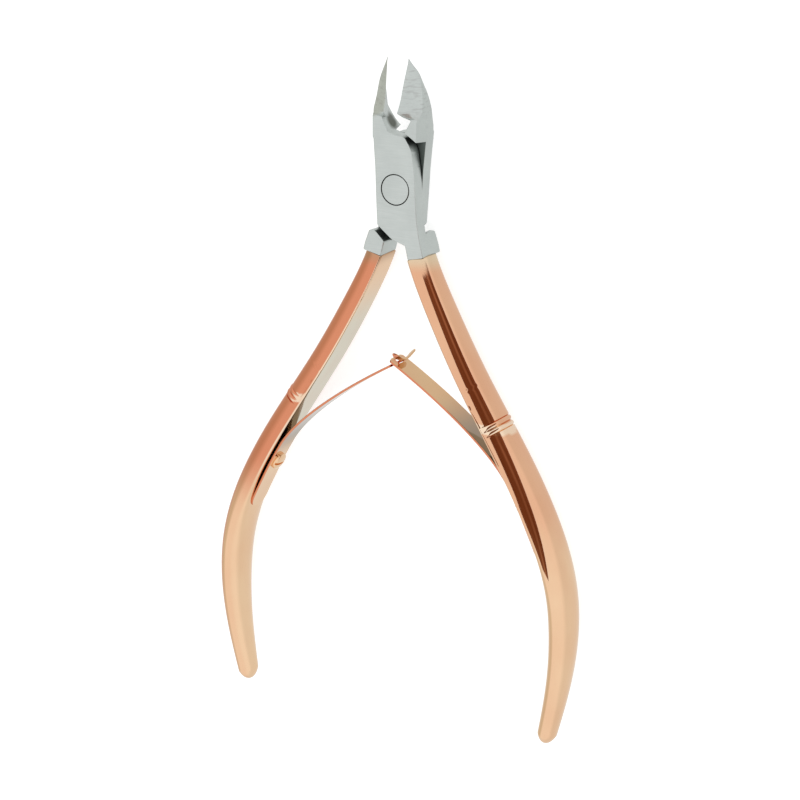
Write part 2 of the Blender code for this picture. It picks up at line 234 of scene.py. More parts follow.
def softened(ring, radius, steps=3):
    """A closed ring of points with every corner turned into a short curve."""
    points = []
    count = len(ring)
    for k in range(count):
        here, before, after = ring[k], ring[k - 1], ring[(k + 1) % count]
        back, on = before - here, after - here
        start = here + back.normalized() * min(radius, 0.45 * back.length)
        stop = here + on.normalized() * min(radius, 0.45 * on.length)
        for step in range(steps):
            t = step / (steps - 1)
            points.append(start * (1 - t) ** 2 + here * 2 * t * (1 - t) + stop * t**2)
    return points


def inset_outline(points, distance):
    """A counter-clockwise outline moved inwards."""
    moved = []
    count = len(points)
    for k in range(count):
        before, here, after = points[k - 1], points[k], points[(k + 1) % count]
        first, second = (here - before).normalized(), (after - here).normalized()
        inward = Vector((-first.y - second.y, first.x + second.x, 0.0)).normalized()
        stretch = max(inward.dot(Vector((-first.y, first.x, 0.0))), 0.5)
        moved.append(here + inward * distance / stretch)
    return moved


def loft(rings):
    """A closed skin through rings of equal count."""
    bm = bmesh.new()
    loops = [[bm.verts.new(point) for point in ring] for ring in rings]
    for near, far in zip(loops, loops[1:]):
        for k in range(len(near)):
            after = (k + 1) % len(near)
            bm.faces.new((near[k], near[after], far[after], far[k]))
    bm.faces.new(list(reversed(loops[0])))
    bm.faces.new(loops[-1])
    bmesh.ops.recalc_face_normals(bm, faces=bm.faces)
    return bm


def slab(outline, low, high, edge=EDGE_ROUND, steps=3):
    """A flat plate on a counter-clockwise outline, with rounded corners and rims."""
    ring = softened([Vector((x, y, 0.0)) for x, y in outline], 2 * edge)
    rings = []
    for k in range(steps + 1):
        turn = 0.5 * pi * k / steps
        level = inset_outline(ring, edge * (1 - sin(turn)))
        rings.append([point + Vector((0, 0, low + edge * (1 - cos(turn)))) for point in level])
    for k in range(steps, -1, -1):
        turn = 0.5 * pi * k / steps
        level = inset_outline(ring, edge * (1 - sin(turn)))
        rings.append([point + Vector((0, 0, high - edge * (1 - cos(turn)))) for point in level])
    return loft(rings)


def turned(profile, segments=96):
    """A solid of revolution about Z from (radius, z) points whose ends lie on the axis."""
    bm = bmesh.new()
    points = [bm.verts.new((radius, 0.0, z)) for radius, z in profile]
    edges = [bm.edges.new(pair) for pair in zip(points, points[1:])]
    bmesh.ops.spin(
        bm, geom=points + edges, cent=(0, 0, 0), axis=(0, 0, 1),
        angle=2 * pi, steps=segments, use_duplicate=False,
    )
    bmesh.ops.remove_doubles(bm, verts=bm.verts, dist=1e-4)
    bmesh.ops.recalc_face_normals(bm, faces=bm.faces)
    return bm


def linked_object(name, bm):
    """An object in the scene with the bmesh's contents; the bmesh is used up."""
    mesh = bpy.data.meshes.new(name)
    bm.to_mesh(mesh)
    bm.free()
    obj = bpy.data.objects.new(name, mesh)
    bpy.context.scene.collection.objects.link(obj)
    return obj


def raw_object(name, bm, side=1):
    """An object from a bmesh in millimetres; side -1 mirrors it in X."""
    bm.transform(Matrix.Diagonal((side, 1.0, 1.0, 1.0)))
    if side < 0:
        bmesh.ops.reverse_faces(bm, faces=bm.faces)
    return linked_object(name, bm)


def apply_modifiers(obj):
    """Keeps the mesh that the modifiers make, and drops the modifiers."""
    bpy.context.view_layer.update()
    evaluated = obj.evaluated_get(bpy.context.evaluated_depsgraph_get())
    result = bpy.data.meshes.new_from_object(evaluated)
    obj.modifiers.clear()
    obj.data = result


def combine(target, other, operation):
    """Applies one exact Boolean and drops the other operand."""
    step = target.modifiers.new("cut", "BOOLEAN")
    step.operation = operation
    step.solver = "EXACT"
    step.object = other
    apply_modifiers(target)
    bpy.data.objects.remove(other, do_unlink=True)
    return target


def finish_piece(obj, material, sharp=32.0, flat_faces=False):
    """Scales to metres, puts the piece about the rivet's place and shades it."""
    obj.data.transform(Matrix.Scale(MM, 4) @ Matrix.Translation(PIVOT))
    obj.data.shade_smooth()
    obj.data.set_sharp_from_angle(angle=radians(sharp))
    if flat_faces:
        weighted = obj.modifiers.new("weighted", "WEIGHTED_NORMAL")
        weighted.keep_sharp = True
        weighted.weight = 100
        apply_modifiers(obj)
    obj.data.materials.clear()
    obj.data.materials.append(material)
    return obj


# ---------------------------------------------------------------- handles


def handle_at(y):
    """Centre line x, thickness and depth of the right handle at height y."""
    columns = list(zip(*reversed(HANDLE_STATIONS)))
    return [float(natural_spline(columns[0], column, np.array([y]))[0]) for column in columns[1:]]


def handle_normal(y):
    """Unit vector across the right handle at height y, pointing away from the other handle."""
    step = 0.05
    slope = (handle_at(y + step)[0] - handle_at(y - step)[0]) / (2 * step)
    return Vector((1.0, -slope, 0.0)).normalized()


def evenly(points, count, turn_weight=0.9):
    """A closed polyline resampled so that both length and turning are shared out evenly."""
    closed = np.vstack([points, points[:1]])
    steps = np.diff(closed, axis=0)
    lengths = np.hypot(steps[:, 0], steps[:, 1])
    headings = np.unwrap(np.arctan2(steps[:, 1], steps[:, 0]))
    turns = np.abs(np.append(np.diff(headings), 0.0))
    measure = lengths / lengths.sum() + turn_weight * turns / turns.sum()
    reach = np.concatenate([[0.0], np.cumsum(measure)])
    wanted = np.linspace(0.0, reach[-1], count, endpoint=False)
    return np.column_stack([np.interp(wanted, reach, closed[:, axis]) for axis in (0, 1)])


def keeled_section(thickness, depth):
    """Section of the upper handle as (across, z): flat inside with crisp edges, full and convex outside."""
    half = depth / 2
    corner = min(SECTION_CORNER, 0.2 * thickness)
    points = []
    for k in range(CORNER_STEPS + 1):
        turn = pi - 0.5 * pi * k / CORNER_STEPS
        points.append((-thickness / 2 + corner * (1 + cos(turn)), half - corner * (1 - sin(turn))))
    for k in range(1, SECTION_TRACE):
        turn = 0.5 * pi - pi * k / SECTION_TRACE
        across = thickness * (abs(cos(turn)) ** KEEL_ACROSS_POWER - 0.5)
        if across > -thickness / 2 + corner:
            points.append((across, half * abs(sin(turn)) ** KEEL_DEPTH_POWER * (1 if turn > 0 else -1)))
    for k in range(CORNER_STEPS + 1):
        turn = -0.5 * pi - 0.5 * pi * k / CORNER_STEPS
        points.append((-thickness / 2 + corner * (1 + cos(turn)), -half + corner * (1 + sin(turn))))
    return evenly(np.array(points), SECTION_POINTS)


def oval_section(thickness, depth):
    """Section of the lower handle: a soft oval, started at the same place round."""
    turns = [radians(OVAL_FIRST_TURN) - 2 * pi * k / SECTION_TRACE for k in range(SECTION_TRACE)]
    points = [(0.5 * thickness * cos(turn), 0.5 * depth * sin(turn)) for turn in turns]
    return evenly(np.array(points), SECTION_POINTS)


def handle_section(y, thickness, depth):
    """Section at height y, on its way from the keeled shape above to the oval below."""
    share = ease(y, OVAL_START, OVAL_FULL)
    keeled = keeled_section(KEEL_WIDER * thickness, depth)
    return keeled * (1 - share) + oval_section(OVAL_WIDER * thickness, OVAL_DEEPER * depth) * share


def bead_inset(y):
    """How far the two raised beads' band is cut in at height y."""
    place = abs(y - BEAD_Y)
    if place > 1.05 * BEAD_SPACING:
        return 0.0
    return BEAD_DEPTH - (BEAD_DEPTH + BEAD_LIFT) * sin(pi * min(place / BEAD_SPACING, 1.0)) ** 0.7


def handle_ring(y, scale=1.0, beyond=0.0, inset=0.0, shrink=0.0):
    """One ring of the right handle at height y, shrunk by scale and moved on along the handle."""
    x, thickness, depth = handle_at(y)
    normal = handle_normal(y)
    top_normal = Vector((1.0, HANDLE_TOP_TILT, 0.0)).normalized()
    blend = min(max((HANDLE_TOP - y) / HANDLE_TOP_BLEND, 0.0), 1.0)
    normal = top_normal.lerp(normal, blend).normalized()
    along = Vector((normal.y, -normal.x, 0.0))
    centre = Vector((x, y, 0.0)) + along * beyond
    ring = []
    for across, high in handle_section(y, thickness - 2 * shrink, depth - 2 * shrink):
        cover = min(max((across / thickness + 0.5 - BEAD_START) / BEAD_FADE, 0.0), 1.0)
        outward = Vector(((across + 0.5 * thickness) / thickness**2, high / (0.5 * depth) ** 2)).normalized()
        across -= outward.x * inset * cover
        high -= outward.y * inset * cover
        ring.append(centre + normal * across * scale + Vector((0, 0, high * scale)))
    return ring


def handle_mesh():
    """The plated handle below the plating line, with its rounded shoulder, beads and rounded end."""
    rings = [handle_ring(HANDLE_TOP + 0.35, shrink=HANDLE_ROOT_SHRINK)]
    for k in range(6):
        turn = 0.5 * pi * k / 5
        drop, shrink = HANDLE_SHOULDER * (1 - cos(turn)), HANDLE_SHOULDER * (1 - sin(turn))
        rings.append(handle_ring(HANDLE_TOP - drop, shrink=shrink))
    first = HANDLE_TOP - 0.5
    heights = [first + (HANDLE_END_Y - first) * k / HANDLE_RINGS for k in range(HANDLE_RINGS + 1)]
    heights = [y for y in heights if abs(y - BEAD_Y) > 1.25 * BEAD_SPACING]
    heights += [BEAD_Y + BEAD_SPACING * (k / 14) for k in range(-17, 18)]
    rings += [handle_ring(y, inset=bead_inset(y)) for y in sorted(heights, reverse=True)]
    for k in range(1, 19):
        turn = radians(HANDLE_END_STOP) * k / 18
        beyond = HANDLE_END_LENGTH * (sin(turn) - sin(radians(HANDLE_END_START)))
        if beyond > 0:
            rings.append(handle_ring(HANDLE_END_Y, cos(turn) / cos(radians(HANDLE_END_START)), beyond))
    return loft(rings)


# ---------------------------------------------------------------- head


def jaw_tracks():
    """Corner points of the left jaw's blade at each station from heel to tip, in order round the blade."""
    edge = tan(radians(JAW_OPEN_ANGLE))
    rows = []
    for y, edge_z, ridge, outer, inner_x in JAW_STATIONS:
        lip = Vector((-edge * y, y, edge_z))
        crest = Vector((ridge[0], y, ridge[1]))
        back = Vector((outer[0], y, outer[1]))
        heel = Vector((inner_x, y, outer[1]))
        height = edge_z - outer[1]
        across = (crest - lip).length
        bulge = Vector((0.0, 0.0, JAW_BULGE * across))
        hollow = Vector((-JAW_HOLLOW * height, 0.0, 0.0))
        rows.append([
            lip,
            lip.lerp(crest, min(MICRO_BEVEL / across, 0.4)) + bulge,
            lip.lerp(crest, 0.55) + bulge,
            crest,
            crest.lerp(back, 0.5) + Vector((-0.04, 0.0, 0.0)),
            back,
            heel,
            heel.lerp(lip, 0.33) + hollow,
            heel.lerp(lip, 0.66) + hollow,
        ])
    return rows


def jaw_rings():
    """Smooth rings along the blade, through the stations."""
    rows = jaw_tracks()
    knots = [row[0].y for row in rows]
    heights = np.linspace(knots[0], knots[-1], JAW_RINGS)
    tracks = []
    for corner in range(len(rows[0])):
        axes = [natural_spline(knots, [row[corner][axis] for row in rows], heights) for axis in (0, 2)]
        tracks.append(axes)
    rings = []
    for k, y in enumerate(heights):
        rings.append([Vector((track[0][k], y, track[1][k])) for track in tracks])
    return rings


def neck_rings(lap):
    """Rings from the neck's slanted foot, past the throat wall, up to just under the blade's heel.

    Each runs: lip, micro bevel, crown, ridge, side, outer back, inner back and two points up the hollow.
    """
    full, bevelled = 3.97, 3.40
    front = full if lap > 0 else bevelled
    rear = bevelled if lap > 0 else full
    ridge = 4.00 if lap > 0 else 3.50
    top = HEAD_HALF
    rows = (
        ((-1.42, 8.76, top), (-2.00, 8.40, top), (-2.80, 7.92, top), (-front + 0.03, 7.50, top),
         (-3.82, 7.30, 0.0), (-rear + 0.14, 7.25, -top), (-1.72, 8.92, -top), (-1.62, 8.88, -0.8),
         (-1.52, 8.82, 0.8)),
        ((-2.38, 10.62, top), (-2.70, 10.58, top), (-3.10, 10.50, top), (-front - 0.02, 10.40, top),
         (-3.97, 10.00, 0.0), (-0.5 * rear - 1.97, 9.60, -2.05), (-1.86, 9.12, -2.12), (-2.03, 9.62, -0.8),
         (-2.22, 10.15, 0.8)),
        ((-2.30, 10.82, 2.46), (-2.66, 10.90, 2.47), (-3.12, 10.95, 2.45), (-ridge, 10.85, 2.38),
         (-4.00, 10.60, 0.10), (-3.95, 10.40, -1.80), (-2.46, 9.85, -2.00), (-2.42, 10.15, -0.6),
         (-2.38, 10.50, 1.0)),
        ((-1.62, 11.35, 3.45), (-2.15, 11.28, 3.15), (-3.00, 11.16, 2.72),
         (-0.5 * ridge - 1.98, 11.25, 2.16), (-4.04, 11.20, 0.25), (-3.97, 11.10, -1.60),
         (-2.97, 10.82, -1.70), (-2.62, 11.00, 0.0), (-2.14, 11.15, 1.75)),
    )
    return [[Vector(point) for point in row] for row in rows]


def blade_mesh(lap):
    """Neck and blade of one jaw, as one skin."""
    rings = neck_rings(lap) + jaw_rings()
    return loft([softened(ring, JAW_CORNER) for ring in rings])


def root_mesh(lap):
    """The slanting block behind the lap plate that carries the handle."""
    levels = (
        (ROOT_INSIDE, HEAD_HALF - 0.3),
        (ROOT_JOINT, 0.0),
        (ROOT_BACK, EDGE_ROUND - HEAD_HALF),
        (ROOT_BACK, -HEAD_HALF),
    )
    rings = []
    for outline, height in levels:
        ring = softened([Vector((x, y, 0.0)) for x, y in outline], 2 * EDGE_ROUND)
        if height == -HEAD_HALF:
            ring = inset_outline(ring, EDGE_ROUND)
        rings.append([point + Vector((0, 0, lap * height)) for point in ring])
    return loft(rings)


def head_object(name, side, lap):
    """The steel head of one lever: lap plate, neck and blade, and the root of the handle."""
    near, far = sorted((lap * LAP_GAP_HALF, lap * HEAD_HALF))
    head = raw_object(name, slab(PLATE_OUTLINE, near, far), side)
    combine(head, raw_object("blank", root_mesh(lap), side), "UNION")
    combine(head, raw_object("blank", blade_mesh(lap), side), "UNION")
    top = HEAD_HALF + 1.0
    hole = turned(((0, -top), (RIVET_HOLE_R, -top), (RIVET_HOLE_R, top), (0, top)))
    combine(head, raw_object("cutter", hole), "DIFFERENCE")
    return head


def rivet_object():
    """A flush two-headed rivet with a faint dome and a fine edge."""
    top = HEAD_HALF
    profile = [(0, -top), (RIVET_R - 0.06, -top + 0.01)]
    profile += [(RIVET_R, -top + RIVET_EDGE), (RIVET_R, top - RIVET_EDGE)]
    for k in range(5):
        turn = 0.5 * pi * k / 4
        profile.append((RIVET_R - RIVET_EDGE * (1 - cos(turn)), top - RIVET_EDGE * (1 - sin(turn))))
    profile += [(0.5 * RIVET_R, top + 0.8 * RIVET_DOME), (0, top + RIVET_DOME)]
    return raw_object("rivet_visual", turned(profile))


# ---------------------------------------------------------------- springs


def leaf_path(steps=70):
    """Centre line of the right leaf, from its tail up the handle and across to the hook."""
    offset = LEAF_STANDOFF + LEAF_THICKNESS / 2
    points = []
    straight = 36
    for k in range(straight):
        y = LEAF_TAIL_Y + (LEAF_LEAVES_Y - LEAF_TAIL_Y) * k / straight
        x, thickness, _ = handle_at(y)
        lift = LEAF_STANDOFF * float(ease(y, LEAF_TAIL_Y - 1.0, LEAF_TAIL_Y + 6.0)) + LEAF_THICKNESS / 2
        points.append(Vector((x, y, 0.0)) - handle_normal(y) * (thickness / 2 + lift))
    x, thickness, _ = handle_at(LEAF_LEAVES_Y)
    normal = handle_normal(LEAF_LEAVES_Y)
    start = Vector((x, LEAF_LEAVES_Y, 0.0)) - normal * (thickness / 2 + offset)
    stop = Vector((*LEAF_CROSSING, 0.0))
    leave = Vector((-normal.y, normal.x, 0.0))
    rise = radians(LEAF_TIP_RISE)
    arrive = Vector((-cos(rise), sin(rise), 0.0))
    reach = (stop - start).length
    first, second = start + leave * reach * LEAF_BEND, stop - arrive * reach * LEAF_SWEEP
    for k in range(steps + 1):
        t = k / steps
        s = 1 - t
        points.append(s**3 * start + 3 * s * s * t * first + 3 * s * t * t * second + t**3 * stop)
    return points


def strip(path, widths, thickness, edge=0.09):
    """A flat strip along a path in the XY plane, its edges rounded; widths are measured along Z."""
    rings = []
    for k, point in enumerate(path):
        before, after = path[max(k - 1, 0)], path[min(k + 1, len(path) - 1)]
        along = (after - before).normalized()
        out = Vector((-along.y, along.x, 0.0)) * thickness / 2
        high = Vector((0.0, 0.0, widths[k] / 2))
        ring = [point + out - high, point + out + high, point - out + high, point - out - high]
        rings.append(softened(ring, edge, 4))
    return loft(rings)


def end_directions(path):
    """Unit vectors along a path's end and square to it."""
    along = (path[-1] - path[-2]).normalized()
    return along, Vector((-along.y, along.x, 0.0))


def leaf_widths(path):
    """Width along the leaf: its tail is rounded, then it narrows to the tip."""
    lengths = [(point - path[0]).length for point in path]
    widths = []
    for length in lengths:
        width = LEAF_WIDTH + (LEAF_TIP_WIDTH - LEAF_WIDTH) * length / lengths[-1]
        tail = min(length / 2.0, 1.0)
        widths.append(width * (0.35 + 0.65 * (1 - (1 - tail) ** 2) ** 0.5))
    return widths


def slotted_leaf():
    """Front lever's leaf: its rounded end has a window that the other leaf's neck passes through."""
    path = leaf_path()
    along, out = end_directions(path)
    crossing = path[-1]
    widths = leaf_widths(path)
    for k in range(1, 9):
        turn = 0.5 * pi * k / 8
        path.append(crossing + along * HOOK_TIP * (0.4 + 0.6 * sin(turn)))
        widths.append(LEAF_TIP_WIDTH * (0.62 + 0.38 * cos(turn)))
    leaf = raw_object("front_spring_visual", strip(path, widths, LEAF_THICKNESS))
    near, far, half_width = HOOK_WINDOW
    corners = [crossing + along * a + out * b for a, b in ((near, -1), (far, -1), (far, 1), (near, 1))]
    window = loft([[corner + Vector((0, 0, z)) for corner in corners] for z in (-half_width, half_width)])
    return combine(leaf, raw_object("cutter", window), "DIFFERENCE")


def hooked_leaf():
    """Rear lever's leaf: a narrow neck through the window and a T head with lifted ears."""
    path = leaf_path()
    along, out = end_directions(path)
    crossing = path[-1]
    while (path[-1] - crossing).dot(along) > -HOOK_SHOULDER:
        path.pop()
    path.append(crossing - along * HOOK_SHOULDER)
    leaf = raw_object("rear_spring_visual", strip(path, leaf_widths(path), LEAF_THICKNESS), -1)
    first, last = -HOOK_SHOULDER - HOOK_NECK_LAP, HOOK_HEAD
    neck = [crossing + along * (first + (last - first) * k / 6) for k in range(7)]
    neck_mesh = strip(neck, [HOOK_NECK_WIDTH] * len(neck), 0.96 * LEAF_THICKNESS)
    combine(leaf, raw_object("blank", neck_mesh, -1), "UNION")
    return combine(leaf, raw_object("blank", hook_head(neck[-1], along, out), -1), "UNION")


def hook_head(seat, along, out):
    """The T head across the neck's end: a bar along Z whose ears lift and widen towards their ends."""
    rings = []
    for k in range(HOOK_STEPS + 1):
        share = 2 * k / HOOK_STEPS - 1
        ear = abs(share) ** HOOK_EAR_POWER
        lift = ear * (HOOK_LIFT + HOOK_TILT * share)
        middle = seat + along * (HOOK_EAR_SWEEP * ear - HOOK_TWIST * share) - out * lift
        middle += Vector((0, 0, HOOK_HALF_SPAN * share))
        half_length = (HOOK_HEAD_HALF + HOOK_EAR_WIDER * ear) * (1.02 - abs(share) ** 6) ** 0.5
        thick = LEAF_THICKNESS / 2 * (1 - HOOK_EAR_THINNER * abs(share))
        ring = [middle + along * a * half_length + out * b * thick for a, b in SQUARE]
        rings.append(softened(ring, 0.1, 4))
    return loft(rings)


def screw_frame(side):
    """Matrix whose Z axis points from the handle's inner face towards the middle plane."""
    x, thickness, _ = handle_at(SCREW_Y)
    normal = handle_normal(SCREW_Y)
    face = Vector((x, SCREW_Y, 0.0)) - normal * thickness / 2
    out = Vector((-normal.x * side, -normal.y, 0.0))
    across = Vector((0.0, 0.0, 1.0))
    along = across.cross(out)
    turn = Matrix((along, across, out)).transposed().to_4x4()
    return Matrix.Translation(Vector((face.x * side, face.y, 0.0))) @ turn


def screw_object(name, side):
    """Pan-headed screw with a straight slot, seated on the leaf."""
    base = LEAF_STANDOFF + LEAF_THICKNESS - 0.02
    rim = base + SCREW_RIM
    top = base + SCREW_HEAD_T + SCREW_DOME
    profile = [(0, -SCREW_SHANK_R), (SCREW_SHANK_R, -SCREW_SHANK_R), (SCREW_SHANK_R, base)]
    profile += [(SCREW_HEAD_R - 0.05, base), (SCREW_HEAD_R, base + 0.06)]
    for k in range(9):
        turn = 0.5 * pi * k / 8
        profile.append((SCREW_HEAD_R * cos(turn) ** 0.7, rim + (top - rim) * sin(turn)))
    profile[-1] = (0, top)
    body = raw_object(name, turned(profile, 64))
    reach = SCREW_HEAD_R + 0.5
    slot = loft([
        [Vector((SCREW_SLOT_HALF * a, reach * b, z)) for a, b in SQUARE]
        for z in (top - SCREW_SLOT_DEPTH, top + 0.5)
    ])
    combine(body, raw_object("cutter", slot), "DIFFERENCE")
    body.data.transform(screw_frame(side))
    return body


# ---------------------------------------------------------------- tones


CHAMPAGNE = (0.88, 0.615, 0.395)
DEEP_ROSE = (0.70, 0.265, 0.145)
# Pale tone of the handles' inner faces near the head: a painted reflection.
PALE_REFLECTION = (0.70, 0.66, 0.53)
KHAKI = (0.72, 0.47, 0.26)
# Darker brown of the leaves between hook and handle.
DARK_LEAF_TONE = (0.30, 0.25, 0.19)
# Painted highlight along the handles' crease.
CREASE_HIGHLIGHT = (0.98, 0.78, 0.58)
# Painted highlight on the beads.
BEAD_HIGHLIGHT = (0.95, 0.79, 0.60)
# Straw at the top of the right handle, dark brown at the top of the left, by the plating line.
STRAW = (0.76, 0.68, 0.48)
SHOULDER_BROWN = (0.46, 0.30, 0.18)
STEEL_STROKES = ((0.540, 0.580, 0.560), (0.610, 0.645, 0.628))
STEEL_CLOUD = (0.50, 0.535, 0.52)
STEEL_FURROW = (0.42, 0.43, 0.42)
# Painted shade in the hollow under each blade's heel.
STEEL_HOLLOW_SHADE = (0.12, 0.13, 0.11)
# Painted shade on the lap faces.
STEEL_LAP_SHADE = (0.13, 0.15, 0.14)
# Painted shade in narrow corners and gaps.
STEEL_CREVICE_SHADE = (0.03, 0.035, 0.033)
SWEEP_TONES = ((0.60, 0.60, 0.60), (0.62, 0.62, 0.62))
SWEEP_GLOWS = ((0.95, 0.95, 0.95), (0.97, 0.97, 0.97))
TENT_TONES = ((0.86, 0.87, 0.86), (1.0, 1.0, 1.0))
TENT_LEFT = (0.72, 0.71, 0.63)
CLOTH_TONES = ((0.155, 0.055, 0.022), (0.24, 0.10, 0.05))
CLOTH_FOLD = (0.46, 0.25, 0.16)


def paint(obj, colours):
    """Stores one tone for each vertex."""
    layer = obj.data.attributes.new("tone", "FLOAT_COLOR", "POINT")
    rows = np.column_stack([colours, np.ones(len(colours))])
    layer.data.foreach_set("color", rows.astype(np.float32).ravel())


def blended(share, first, second):
    """Rows of tones, from the first where the share is 0 to the second where it is 1."""
    return first * (1 - share[:, None]) + second * share[:, None]


def places_and_normals(obj):
    """Each vertex's place and normal, as rows."""
    count = len(obj.data.vertices)
    places = np.zeros(3 * count)
    obj.data.vertices.foreach_get("co", places)
    normals = np.zeros(3 * count, np.float32)
    obj.data.vertex_normals.foreach_get("vector", normals)
    return places.reshape(-1, 3), normals.reshape(-1, 3)


def paint_handle(obj, side):
    """Painted reflections chosen by facing and side: deep rose outside, champagne inside and towards the
    end, a pale tone inside near the head; painted highlights on the crease and the beads.
    """
    places, normals = places_and_normals(obj)
    y = places[:, 1]
    # Tones chosen by facing and by side stand in for what the plating reflects: painted reflections.
    inward = -side * normals[:, 0]
    inside = ease(inward, 0.35, 0.75)
    rose_reflection_share = 1.0 if side < 0 else 0.42
    low = ease(-y, 44.0, 56.0)
    if side < 0:
        low = low * (1 - 0.8 * ease(-inward, 0.50, 0.75))
    rose_reflection = np.full(len(y), rose_reflection_share) * (1 - low * 0.85)
    outside = blended(rose_reflection, np.array([CHAMPAGNE]), np.array([DEEP_ROSE]))
    pale_reflection_share = ease(-y, 13.0, 24.0) * (1 - ease(-y, 38.0, 48.0))
    inside_reflection = blended(pale_reflection_share, np.array([CHAMPAGNE]), np.array([PALE_REFLECTION]))
    tone = blended(inside, outside, inside_reflection)
    # Painted highlight along the rounded inner-front crease of the upper handle.
    crease_highlight = ease(inward, 0.22, 0.50) * (1 - ease(inward, 0.80, 0.95))
    crease_highlight = crease_highlight * ease(np.abs(normals[:, 2]), 0.25, 0.50) * (1 - ease(-y, 42.0, 52.0))
    tone = blended(0.9 * crease_highlight, tone, np.array([CREASE_HIGHLIGHT]))
    # Painted highlight on the two raised beads, kept off the inner face.
    beads = 1 - ease(np.abs(y - BEAD_Y), 0.96 * BEAD_SPACING, 1.04 * BEAD_SPACING)
    if side < 0:
        beads = beads * ease(normals[:, 2], 0.88, 0.97)
    tone = blended(0.85 * beads * (1 - inside), tone, np.array([BEAD_HIGHLIGHT]))
    # The top of each handle, by the plating line, is straw on the right handle and dark brown on the left.
    top = 1 - ease(-y, 10.2, 12.4)
    paint(obj, blended(0.75 * top, tone, np.array([STRAW if side > 0 else SHOULDER_BROWN])))


def paint_leaf(obj):
    """Khaki at the hook, darker brown towards the handle, champagne along the handle, and deep rose edges,
    which are a painted reflection chosen by facing.
    """
    places, normals = places_and_normals(obj)
    y = places[:, 1]
    flat = blended(ease(-y, 30.5, 36.5), np.array([KHAKI]), np.array([DARK_LEAF_TONE]))
    flat = blended(ease(-y, 41.0, 46.0), flat, np.array([CHAMPAGNE]))
    # Edges get deep rose by facing: a painted reflection.
    paint(obj, blended(ease(np.abs(normals[:, 2]), 0.3, 0.7), flat, np.array([DEEP_ROSE])))


def paint_plain(obj, colour):
    """One tone all over."""
    paint(obj, np.tile(np.array(colour), (len(obj.data.vertices), 1)))


# ---------------------------------------------------------------- materials


def add_node(tree, kind, **values):
    """A new node with the given settings."""
    node = tree.nodes.new(kind)
    for name, value in values.items():
        setattr(node, name, value)
    return node


def mapped(tree, scale, turn=0.0):
    """Object coordinates in millimetres, turned about Z and stretched."""
    place = add_node(tree, "ShaderNodeTexCoord")
    mapping = add_node(tree, "ShaderNodeMapping")
    mapping.inputs["Rotation"].default_value = (0.0, 0.0, turn)
    mapping.inputs["Scale"].default_value = [value / MM for value in scale]
    tree.links.new(place.outputs["Object"], mapping.inputs["Vector"])
    return mapping.outputs["Vector"]


def noise(tree, vector, scale, detail=3.0, roughness=0.55):
    """Cloudy noise, 0 to 1."""
    node = add_node(tree, "ShaderNodeTexNoise")
    node.inputs["Scale"].default_value = scale
    node.inputs["Detail"].default_value = detail
    node.inputs["Roughness"].default_value = roughness
    tree.links.new(vector, node.inputs["Vector"])
    return node.outputs["Fac"]


def spread(tree, value, low, high, to_low, to_high):
    """A value stretched from one range to another, and held there."""
    node = add_node(tree, "ShaderNodeMapRange")
    for name, number in zip(("From Min", "From Max", "To Min", "To Max"), (low, high, to_low, to_high)):
        node.inputs[name].default_value = number
    tree.links.new(value, node.inputs["Value"])
    return node.outputs["Result"]


def mix_colour(tree, factor, first, second):
    """Two colours mixed; each is a socket or a plain tone."""
    node = add_node(tree, "ShaderNodeMix", data_type="RGBA")
    for socket, value in ((node.inputs[6], first), (node.inputs[7], second)):
        if isinstance(value, tuple):
            socket.default_value = (*value, 1.0)
        else:
            tree.links.new(value, socket)
    tree.links.new(factor, node.inputs[0])
    return node.outputs[2]


def bump(tree, height, strength, distance):
    """A normal for relief of the given height in millimetres."""
    node = add_node(tree, "ShaderNodeBump")
    node.inputs["Strength"].default_value = strength
    node.inputs["Distance"].default_value = distance * MM
    tree.links.new(height, node.inputs["Height"])
    return node.outputs["Normal"]


def new_material(name):
    """A material, its node tree and its Principled shader."""
    made = bpy.data.materials.new(name)
    made.use_nodes = True
    return made, made.node_tree, made.node_tree.nodes["Principled BSDF"]


def crevice_shade(tree, colour, reach, depth):
    """Painted shade: darkens a colour in narrow corners and gaps, by ambient occlusion."""
    shade = add_node(tree, "ShaderNodeAmbientOcclusion", samples=8, only_local=False)
    shade.inputs["Distance"].default_value = reach * MM
    return mix_colour(tree, spread(tree, shade.outputs["AO"], 0.25, 0.85, depth, 0.0), colour, STEEL_CREVICE_SHADE)


def calculate(tree, operation, first, second=None):
    """One Math node; the operands are sockets or plain numbers."""
    node = add_node(tree, "ShaderNodeMath", operation=operation)
    for socket, value in zip(node.inputs, (first, second)):
        if isinstance(value, (int, float)):
            socket.default_value = value
        elif value is not None:
            tree.links.new(value, socket)
    return node.outputs["Value"]


def recess_shade(tree, facing):
    """1 in the hollow under each blade's heel, where shade is painted on the steel."""
    place = add_node(tree, "ShaderNodeSeparateXYZ")
    tree.links.new(mapped(tree, (1.0, 1.0, 1.0)), place.inputs["Vector"])
    folded = add_node(tree, "ShaderNodeCombineXYZ")
    tree.links.new(calculate(tree, "ABSOLUTE", place.outputs["X"]), folded.inputs["X"])
    tree.links.new(place.outputs["Y"], folded.inputs["Y"])
    tree.links.new(place.outputs["Z"], folded.inputs["Z"])
    distance = add_node(tree, "ShaderNodeVectorMath", operation="DISTANCE")
    tree.links.new(folded.outputs["Vector"], distance.inputs[0])
    distance.inputs[1].default_value = Vector(HOLLOW_PLACE) + PIVOT
    near = spread(tree, distance.outputs["Value"], 0.9, 1.7, 1.0, 0.0)
    return calculate(tree, "MULTIPLY", near, spread(tree, facing, 0.50, 0.85, 1.0, 0.0))


def lap_shade(tree, height, facing):
    """1 on the lap's rubbing faces, where shade is painted on the steel."""
    off_plane = calculate(tree, "ABSOLUTE", calculate(tree, "SUBTRACT", height, float(PIVOT.z)))
    near = spread(tree, off_plane, 0.30, 0.60, 1.0, 0.0)
    return calculate(tree, "MULTIPLY", near, spread(tree, facing, 0.60, 0.90, 0.0, 1.0))


